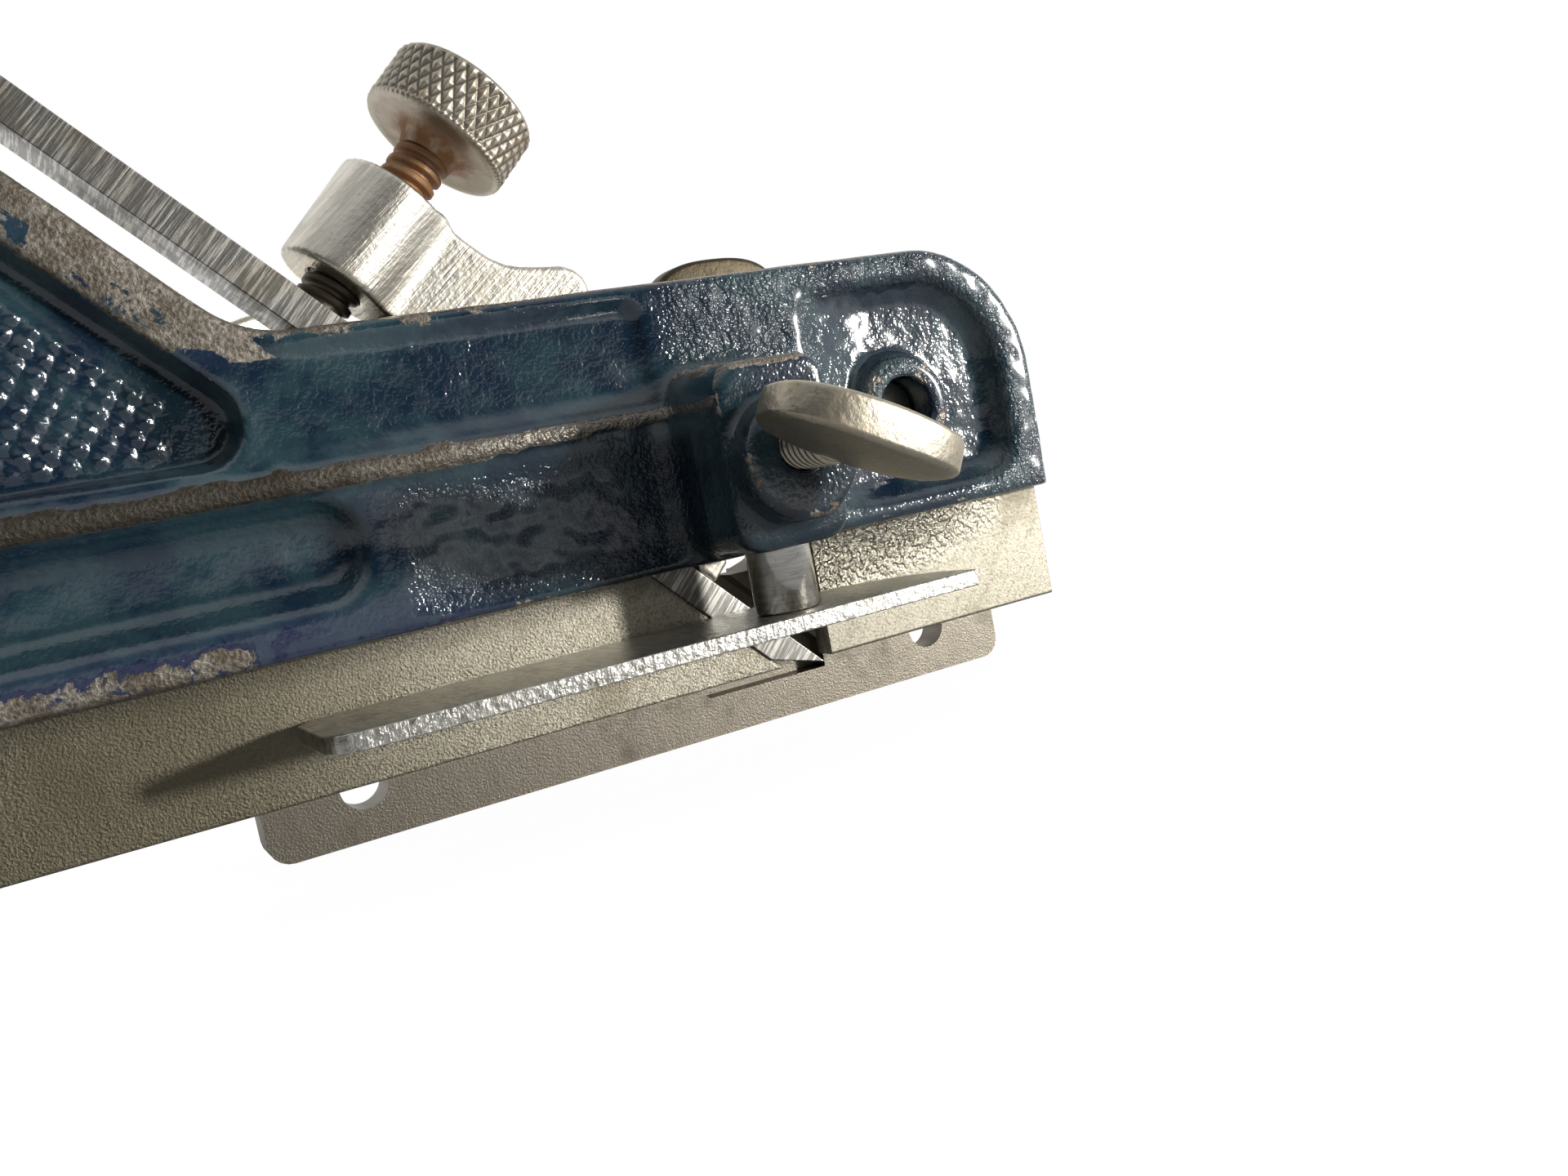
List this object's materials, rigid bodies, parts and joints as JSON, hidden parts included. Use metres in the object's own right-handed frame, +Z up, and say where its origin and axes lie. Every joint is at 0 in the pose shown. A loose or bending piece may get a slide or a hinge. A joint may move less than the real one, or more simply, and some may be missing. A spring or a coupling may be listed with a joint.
{
  "type": "plough plane",
  "caption": "Small cast metal plough plane with a thin skate, fin handle, lever-capped iron, depth stop and a fence sliding on arms.",
  "frame": {"origin": "middle of the sole: half way from heel to toe, on the skate's middle plane", "axes": "+X to the toe, the way the plane is pushed; +Y to the left, the fence side; +Z up from the sole"},
  "size_m": [0.146, 0.1348, 0.0953],
  "materials": {
    "casting_enamel": "glossy dark blue enamel on cast iron, chipped at the edges; the skate bare nickel",
    "iron_steel": "dark side with cross filing marks",
    "cap_nickel": "satin nickel over a sanded casting",
    "screw_nickel": "worn satin nickel",
    "rusty_thread": "brown rusted thread",
    "bright_steel": "milled and polished",
    "fence_steel": "ground, brown-grey",
    "arm_steel": "turned bright steel"
  },
  "bodies": {
    "body": {"body_casting": "casting_enamel", "lever_cap_pin": "arm_steel", "front_fence_arm": "arm_steel", "rear_fence_arm": "arm_steel"},
    "iron": {"plane_iron": "iron_steel"},
    "lever": {"lever_cap": "cap_nickel"},
    "cap_screw": {"lever_cap_screw": "rusty_thread"},
    "cap_knob": {"lever_cap_knob": "screw_nickel"},
    "depth_stop": {"depth_stop_post": "bright_steel", "depth_stop_foot": "bright_steel"},
    "depth_screw": {"depth_stop_screw": "screw_nickel"},
    "fence": {"fence": "fence_steel"},
    "front_screw": {"front_fence_screw": "screw_nickel"},
    "rear_screw": {"rear_fence_screw": "screw_nickel"}
  },
  "joints": [
    {"name": "iron_slide", "type": "slide", "parent": "body", "child": "iron", "axis": [-0.7071, 0, 0.7071], "range_m": [-0.001, 0.012]},
    {"name": "knob_turn", "type": "hinge", "parent": "cap_screw", "child": "cap_knob", "pos_m": [0.01228, 0.00147, 0.05593], "axis": [0.7071, 0, 0.7071], "range_deg": [0, 277]},
    {"name": "cap_screw_travel", "type": "slide", "parent": "lever", "child": "cap_screw", "axis": [0.7071, 0, 0.7071], "range_m": [0, 0.0009525]},
    {"name": "lever_tilt", "type": "hinge", "parent": "body", "child": "lever", "pos_m": [0.02013, 0.00147, 0.03691], "axis": [0, -1, 0], "range_deg": [0, 2.45]},
    {"name": "depth_stop_slide", "type": "slide", "parent": "body", "child": "depth_stop", "axis": [0, 0, 1], "range_m": [-0.0054, 0.0055]},
    {"name": "depth_screw_turn", "type": "hinge", "parent": "body", "child": "depth_screw", "pos_m": [0.0338, -0.0194, 0.0225], "axis": [0, -1, 0], "continuous": true},
    {"name": "fence_slide", "type": "slide", "parent": "body", "child": "fence", "axis": [0, 1, 0], "range_m": [-0.0055, 0.055]},
    {"name": "front_screw_turn", "type": "hinge", "parent": "fence", "child": "front_screw", "pos_m": [0.0556, 0.03437, 0.0303], "axis": [0, 0, 1], "continuous": true},
    {"name": "rear_screw_turn", "type": "hinge", "parent": "fence", "child": "rear_screw", "pos_m": [0.0015, 0.03437, 0.0303], "axis": [0, 0, 1], "continuous": true}
  ],
  "couplings": [
    {"joint": "knob_turn", "follows": "cap_screw_travel", "rad_per_m": 4947.4},
    {"joint": "lever_tilt", "follows": "cap_screw_travel", "rad_per_m": 43.471}
  ]
}
